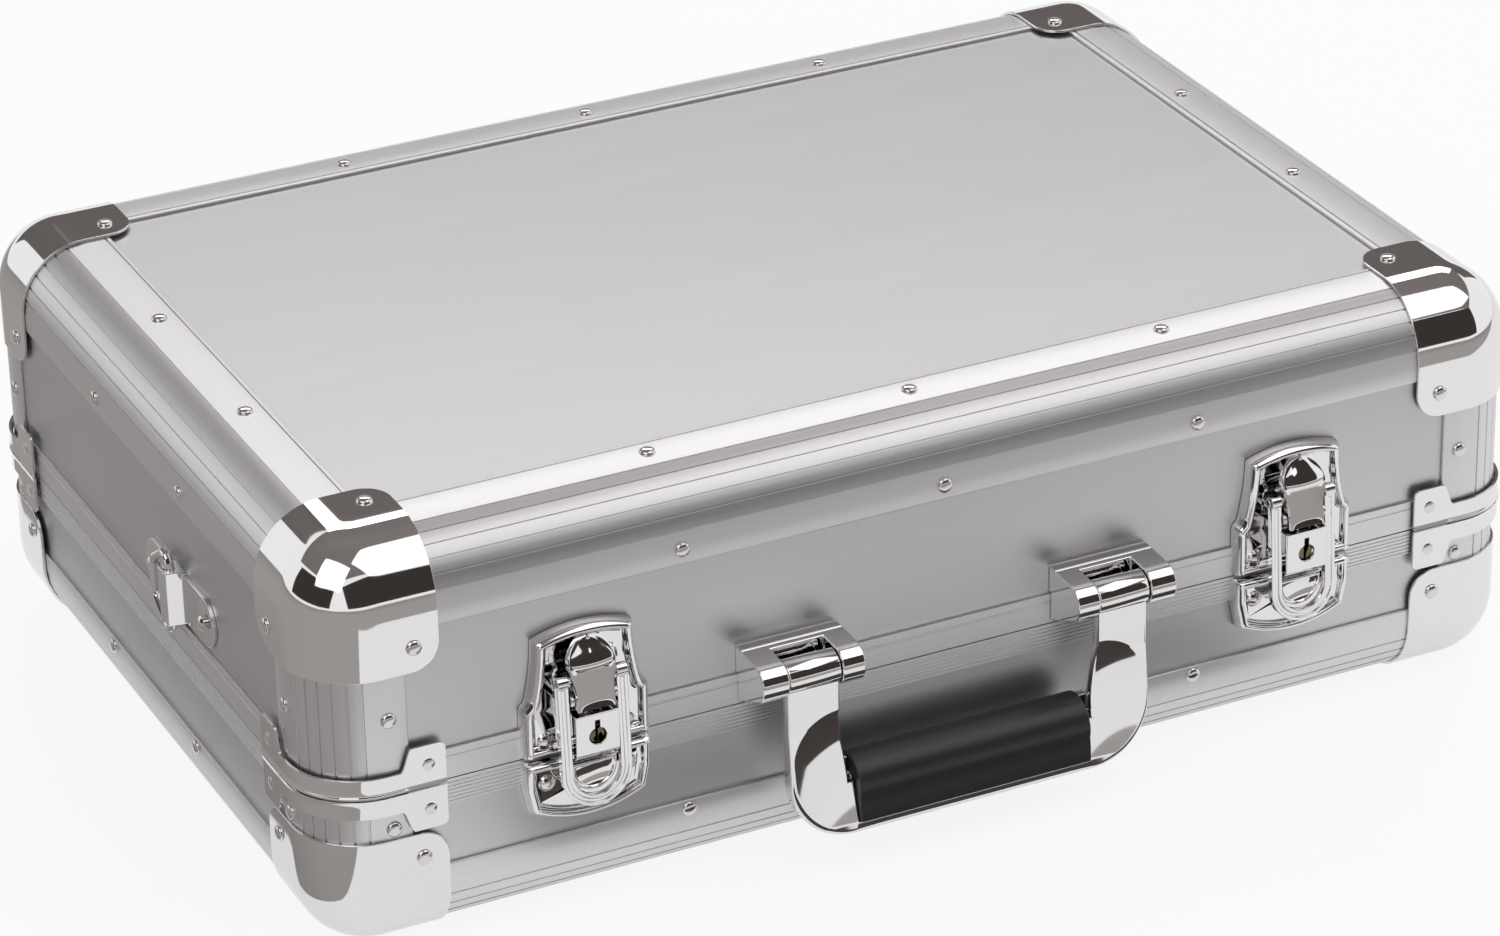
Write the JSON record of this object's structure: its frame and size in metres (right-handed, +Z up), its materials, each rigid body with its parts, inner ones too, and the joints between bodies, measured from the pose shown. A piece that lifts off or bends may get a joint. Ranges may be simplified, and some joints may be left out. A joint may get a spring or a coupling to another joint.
{
  "type": "record case",
  "caption": "Hard aluminium carrying case for records and discs, with rounded edge profiles, ball corners, draw latches with locks, a drop handle, strap rings and row dividers.",
  "frame": {"origin": "middle of the whole object's box, at the undersides of the lower ball corners", "axes": "+X along the front to the right, -Y out of the front with the latches and handle, +Z up"},
  "size_m": [0.5134, 0.3778, 0.1671],
  "materials": {
    "panel": "satin sheet with a fine brushed grain",
    "profile": "satin anodised extrusion",
    "chrome": "bright plated steel",
    "rivet": "bright domed heads",
    "hinge": "plated steel, slightly satin",
    "pin": "turned steel",
    "lock": "plain brass",
    "wire": "bright plated round wire",
    "grip": "smooth moulded black plastic",
    "lining": "short black pile on board"
  },
  "bodies": {
    "base": {"base_bottom_panel": "panel", "base_front_panel": "panel", "base_back_panel": "panel", "base_left_panel": "panel", "base_right_panel": "panel", "base_front_edge": "profile", "base_back_edge": "profile", "base_left_edge": "profile", "base_right_edge": "profile", "base_corner_posts": "profile", "base_closing_frame": "profile", "base_ball_corners": "chrome", "base_corner_braces": "chrome", "base_panel_rivets": "rivet", "base_corner_rivets": "rivet", "base_fitting_rivets": "rivet", "base_lining": "lining", "row_dividers": "lining", "left_keeper_plate": "chrome", "right_keeper_plate": "chrome", "hinge_base_leaves": "hinge", "hinge_pins": "pin"},
    "lid": {"lid_top_panel": "panel", "lid_front_panel": "panel", "lid_back_panel": "panel", "lid_left_panel": "panel", "lid_right_panel": "panel", "lid_front_edge": "profile", "lid_back_edge": "profile", "lid_left_edge": "profile", "lid_right_edge": "profile", "lid_corner_posts": "profile", "lid_closing_frame": "profile", "lid_ball_corners": "chrome", "lid_corner_braces": "chrome", "lid_panel_rivets": "rivet", "lid_corner_rivets": "rivet", "lid_fitting_rivets": "rivet", "lid_lining": "lining", "hinge_lid_leaves": "hinge", "left_latch_plate": "chrome", "right_latch_plate": "chrome", "left_lock_box": "chrome", "right_lock_box": "chrome", "latch_pivot_pins": "pin", "handle_brackets": "chrome", "handle_pins": "pin", "strap_anchors": "chrome"},
    "left_lock": {"left_lock_cam": "lock"},
    "right_lock": {"right_lock_cam": "lock"},
    "left_lever": {"left_latch_lever": "chrome"},
    "right_lever": {"right_latch_lever": "chrome"},
    "left_bail": {"left_latch_bail": "chrome"},
    "right_bail": {"right_latch_bail": "chrome"},
    "handle": {"handle_frame": "chrome", "handle_grip": "grip", "handle_collars": "chrome"},
    "left_ring": {"left_strap_ring": "wire"},
    "right_ring": {"right_strap_ring": "wire"}
  },
  "joints": [
    {"name": "lid_hinge", "type": "hinge", "parent": "base", "child": "lid", "pos_m": [0, 0.1826, 0.0688], "axis": [-1, 0, 0], "range_deg": [0, 100]},
    {"name": "left_lock_turn", "type": "hinge", "parent": "lid", "child": "left_lock", "pos_m": [-0.147, -0.1684, 0.0786], "axis": [0, -1, 0], "range_deg": [0, 90]},
    {"name": "left_lever_turn", "type": "hinge", "parent": "lid", "child": "left_lever", "pos_m": [-0.147, -0.1729, 0.0933], "axis": [1, 0, 0], "range_deg": [0, 105]},
    {"name": "left_bail_swing", "type": "hinge", "parent": "left_lever", "child": "left_bail", "pos_m": [-0.147, -0.1714, 0.1008], "axis": [-1, 0, 0], "range_deg": [0, 121]},
    {"name": "right_lock_turn", "type": "hinge", "parent": "lid", "child": "right_lock", "pos_m": [0.147, -0.1684, 0.0786], "axis": [0, -1, 0], "range_deg": [0, 90]},
    {"name": "right_lever_turn", "type": "hinge", "parent": "lid", "child": "right_lever", "pos_m": [0.147, -0.1729, 0.0933], "axis": [1, 0, 0], "range_deg": [0, 105]},
    {"name": "right_bail_swing", "type": "hinge", "parent": "right_lever", "child": "right_bail", "pos_m": [0.147, -0.1714, 0.1008], "axis": [-1, 0, 0], "range_deg": [0, 121]},
    {"name": "handle_swing", "type": "hinge", "parent": "lid", "child": "handle", "pos_m": [0, -0.1784, 0.0843], "axis": [-1, 0, 0], "range_deg": [0, 95]},
    {"name": "left_ring_swing", "type": "hinge", "parent": "lid", "child": "left_ring", "pos_m": [-0.2534, -0.0309, 0.0933], "axis": [0, 0, 1], "range_deg": [0, 150]},
    {"name": "right_ring_swing", "type": "hinge", "parent": "lid", "child": "right_ring", "pos_m": [0.2534, -0.0309, 0.0933], "axis": [0, 0, -1], "range_deg": [0, 150]}
  ],
  "couplings": [
    {"joint": "left_bail_swing", "follows": "left_lever_turn", "ratio": 1.15},
    {"joint": "right_bail_swing", "follows": "right_lever_turn", "ratio": 1.15}
  ]
}
